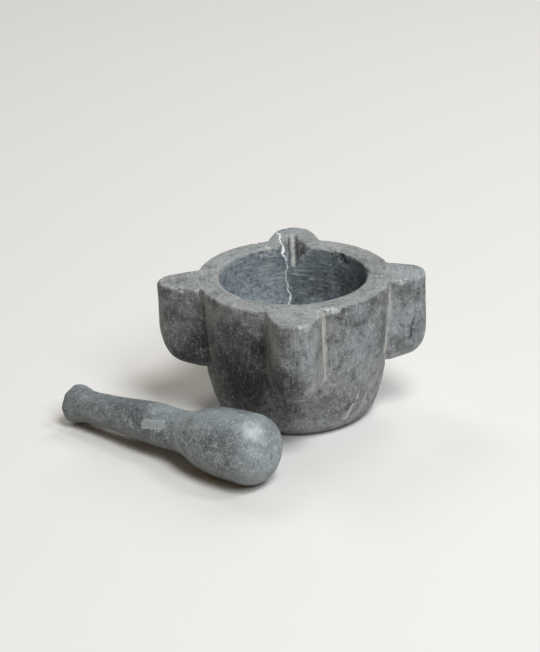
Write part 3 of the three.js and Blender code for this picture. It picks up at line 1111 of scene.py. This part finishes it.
def patch_layers(n, colour):
    """The pale patch and its dried line."""
    patch = n.plus(n.mark("patch"), n.swing(n.noise(PATCH_RAGS), PATCH_RAG_SWING))
    colour = n.layer(colour, patch, PATCH)
    from_line = n.math("ABSOLUTE", n.plus(patch, PATCH_LINE_INSIDE))
    return n.layer(colour, from_line, PATCH_LINE)


def pestle_material():
    n = Nodes("pestle_stone")
    cloud = n.noise(PESTLE_CLOUD)
    mottle = n.noise(PESTLE_MOTTLE)
    grain = n.noise(PESTLE_GRAIN)
    turned = turned_marks(n)
    upward = n.axis("Normal", 2)
    along = n.mark("along")
    rubs_and_highlights = n.plus(n.mark("rub_and_highlight"), n.swing(mottle, PESTLE_HIGHLIGHT_SWING))

    colour = n.layer(srgb(*PESTLE_DARK), cloud, PESTLE_LIGHT)
    colour = n.layer(colour, mottle, PESTLE_MOTTLE_PALE)
    colour = n.layer(colour, mottle, PESTLE_MOTTLE_DARK)
    colour = n.layer(colour, grain, PESTLE_GRAIN_PALE)
    colour = n.layer(colour, grain, PESTLE_GRAIN_DARK)
    colour = n.layer(colour, turned, TURNED_PALE)
    # Painted light on the upward faces
    colour = n.layer(colour, upward, PESTLE_TOP_LIGHT)
    # Painted light on the upper side
    colour = n.layer(colour, n.mark("pale"), PESTLE_PAINTED_LIGHT_LAYER)
    colour = n.layer(colour, along, GRIP_DARK)
    # Painted shade on the underside
    colour = n.layer(colour, upward, PESTLE_UNDERSIDE_SHADE)
    colour = patch_layers(n, colour)
    colour = n.layer(colour, along, HEAD_PALE)
    # Painted shade on the knob's end face
    colour = n.layer(colour, along, KNOB_END_SHADE)
    # Painted highlight
    colour = n.layer(colour, rubs_and_highlights, PESTLE_HIGHLIGHT_LAYER)
    for flecks in PESTLE_FLECKS:
        colour = spotted(n, colour, flecks)

    n.put(n.shader.inputs["Base Color"], colour)
    n.put(n.shader.inputs["Roughness"], n.band(cloud, *PESTLE_ROUGHNESS))
    relief = n.bump(n.noise(PESTLE_PITS), PESTLE_PIT_RELIEF)
    relief = n.bump(turned, TURNED_RELIEF, relief)
    n.put(n.shader.inputs["Normal"], relief)
    return n.material


# ---------------------------------------------------------------- studio

def link(name, data):
    """A new object in the scene."""
    thing = bpy.data.objects.new(name, data)
    bpy.context.collection.objects.link(thing)
    return thing


def paper_material():
    material = bpy.data.materials.new("studio_paper")
    material.use_nodes = True
    shader = material.node_tree.nodes["Principled BSDF"]
    shader.inputs["Base Color"].default_value = srgb(*PAPER_COLOUR)
    shader.inputs["Roughness"].default_value = PAPER_ROUGHNESS
    return material


def add_floor():
    """A round sheet of studio paper, flat for a few metres and then bent up at its edge."""
    turn = np.linspace(0, math.pi / 2, PAPER_STEPS)
    radii = FLOOR_RADIUS + PAPER_BEND * np.sin(turn)
    heights = PAPER_BEND * (1 - np.cos(turn))
    round_turn = np.linspace(0, 2 * math.pi, PAPER_SIDES, endpoint=False)
    points = [(r * math.cos(t), r * math.sin(t), h) for r, h in zip(radii, heights) for t in round_turn]
    faces = [tuple(range(PAPER_SIDES))]
    for ring in range(PAPER_STEPS - 1):
        for side in range(PAPER_SIDES):
            a = ring * PAPER_SIDES + side
            b = ring * PAPER_SIDES + (side + 1) % PAPER_SIDES
            faces.append((a, a + PAPER_SIDES, b + PAPER_SIDES, b))
    mesh = bpy.data.meshes.new("studio_floor")
    mesh.from_pydata(points, [], faces)
    mesh.shade_smooth()
    mesh.materials.append(paper_material())
    floor = link("studio_floor", mesh)


def add_lamp(lamp):
    """A square lamp that looks at the stones from its heading and height."""
    heading, height = math.radians(lamp.heading), math.radians(lamp.height)
    level = LAMP_DISTANCE * math.cos(height)
    place = (level * math.cos(heading), level * math.sin(heading), LAMP_DISTANCE * math.sin(height))
    data = bpy.data.lights.new(lamp.name, "AREA")
    data.shape = "RECTANGLE"
    data.size = lamp.side
    data.size_y = lamp.side
    data.energy = lamp.power
    data.color = lamp.colour
    light = link(lamp.name, data)
    light.location = place
    light.rotation_mode = "QUATERNION"
    light.rotation_quaternion = (Vector(LAMP_AIM) - Vector(place)).to_track_quat("-Z", "Y")


def add_world():
    """Faint warm light from all round."""
    world = bpy.data.worlds.new("studio")
    bpy.context.scene.world = world
    world.use_nodes = True
    background = world.node_tree.nodes["Background"]
    background.inputs["Color"].default_value = WORLD_COLOUR
    background.inputs["Strength"].default_value = WORLD_STRENGTH


def add_camera():
    """The photo's camera, which looks along +Y and down, rolled a little."""
    ahead = Vector((0, math.cos(CAMERA_ELEVATION), -math.sin(CAMERA_ELEVATION)))
    level_right = Vector((1, 0, 0))
    level_up = level_right.cross(ahead)
    right = level_right * math.cos(CAMERA_ROLL) + level_up * math.sin(CAMERA_ROLL)
    up = level_up * math.cos(CAMERA_ROLL) - level_right * math.sin(CAMERA_ROLL)
    turn = Matrix((right, up, -ahead)).transposed().to_4x4()
    data = bpy.data.cameras.new("camera")
    data.lens = CAMERA_LENS
    data.sensor_width = CAMERA_SENSOR
    camera = link("camera", data)
    camera.matrix_world = Matrix.Translation(Vector(CAMERA_AIM) - ahead * CAMERA_DISTANCE) @ turn
    bpy.context.scene.camera = camera


def add_stone(mesh, name, node, material):
    """Puts a stone in the scene in place of its CAD node."""
    stone = link(name, mesh)
    mesh.materials.append(material)
    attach(stone, node)
    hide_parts(node)


bpy.context.scene.view_settings.view_transform = "Standard"
add_camera()
for lamp in LAMPS:
    add_lamp(lamp)
add_world()
add_floor()
add_stone(mortar_mesh(), "carved_mortar", "mortar", mortar_material())
add_stone(pestle_mesh(), "stone_pestle", "pestle", pestle_material())
